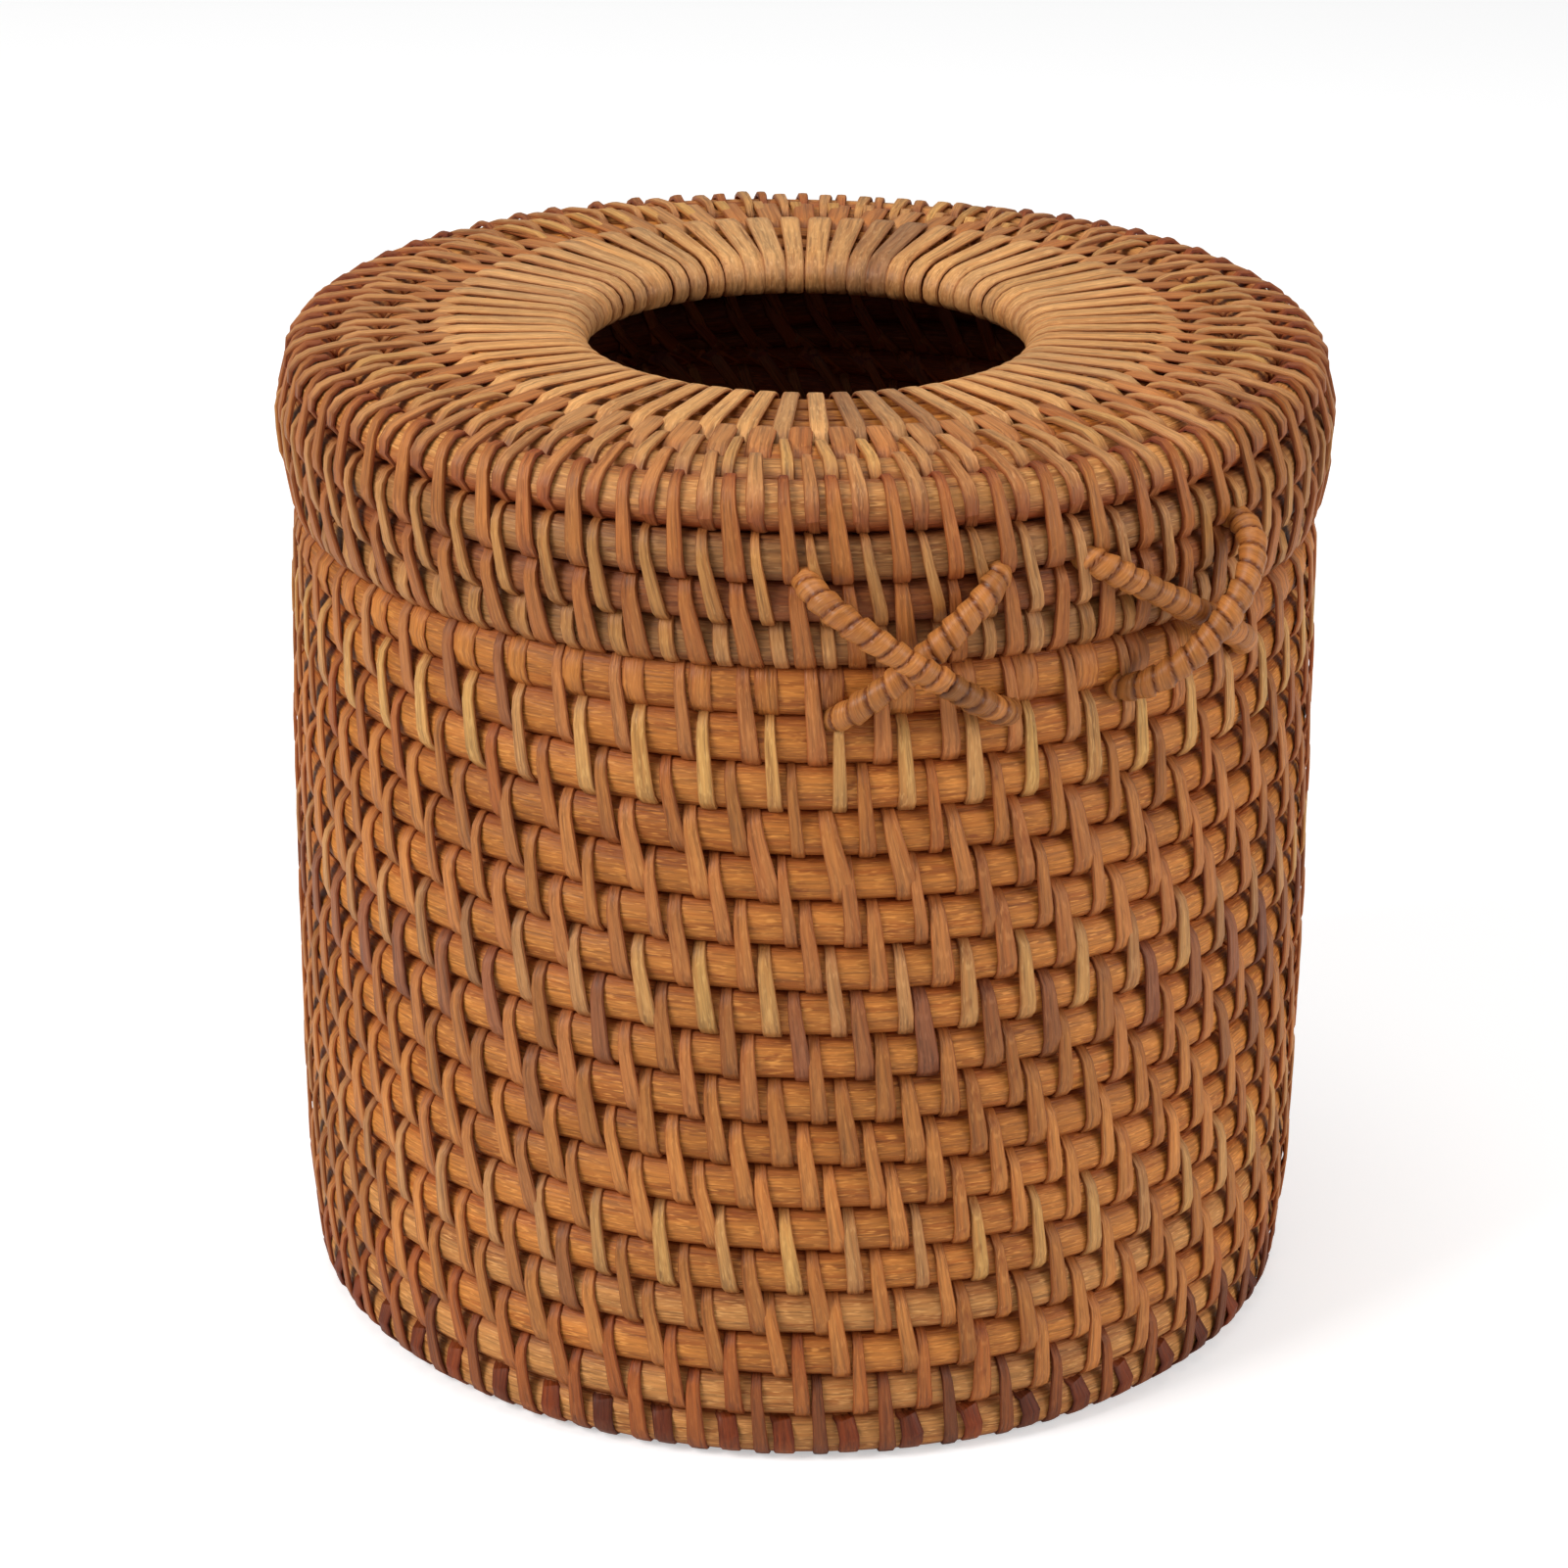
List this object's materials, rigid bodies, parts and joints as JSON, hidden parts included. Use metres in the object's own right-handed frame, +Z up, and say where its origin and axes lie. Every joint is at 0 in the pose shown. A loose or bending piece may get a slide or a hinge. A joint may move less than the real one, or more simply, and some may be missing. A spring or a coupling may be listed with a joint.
{
  "type": "tissue box cover",
  "caption": "Round box of coiled and stitched cane that covers a roll of tissue, with a hinged lid and a wrapped dispensing hole in its middle.",
  "frame": {"origin": "centre of the face it stands on", "axes": "+Z up through the dispensing hole, the front towards -Y, and the hinge ties at the front right, between -Y and +X"},
  "size_m": [0.1624, 0.1713, 0.1575],
  "materials": {
    "wall_cane": "satin",
    "lid_cane": "satin",
    "wall_strip": "satin",
    "lid_strip": "satin",
    "hub_strip": "satin",
    "dark_strip": "satin",
    "tie_cord": "satin"
  },
  "bodies": {
    "body": {"floor_binding": "dark_strip", "floor_coil": "wall_cane", "wall_coil_lower": "wall_cane", "wall_coil_middle": "wall_cane", "wall_coil_upper": "wall_cane", "wall_binding_01": "wall_strip", "wall_binding_02": "wall_strip", "wall_binding_03": "wall_strip", "wall_binding_04": "wall_strip", "wall_binding_05": "wall_strip", "wall_binding_06": "wall_strip", "wall_binding_07": "wall_strip", "wall_binding_08": "wall_strip", "wall_binding_09": "wall_strip", "wall_binding_10": "wall_strip", "wall_binding_11": "wall_strip", "wall_binding_12": "wall_strip", "wall_binding_13": "wall_strip", "wall_binding_14": "wall_strip", "wall_binding_15": "wall_strip", "wall_binding_16": "wall_strip", "wall_binding_17": "wall_strip", "wall_binding_18": "wall_strip", "left_hinge_tie": "tie_cord", "right_hinge_tie": "tie_cord"},
    "lid": {"lid_coil": "lid_cane", "lid_binding_01": "lid_strip", "lid_binding_02": "lid_strip", "lid_binding_03": "lid_strip", "lid_binding_04": "lid_strip", "lid_binding_05": "lid_strip", "lid_binding_06": "lid_strip", "hub_coil": "lid_cane", "hub_wrap": "hub_strip"}
  },
  "joints": [
    {"name": "lid_hinge", "type": "hinge", "parent": "body", "child": "lid", "pos_m": [0.03948, -0.07426, 0.12915], "axis": [0.8829, 0.4695, 0], "range_deg": [0, 105], "deforming": ["left_hinge_tie", "right_hinge_tie"]}
  ]
}
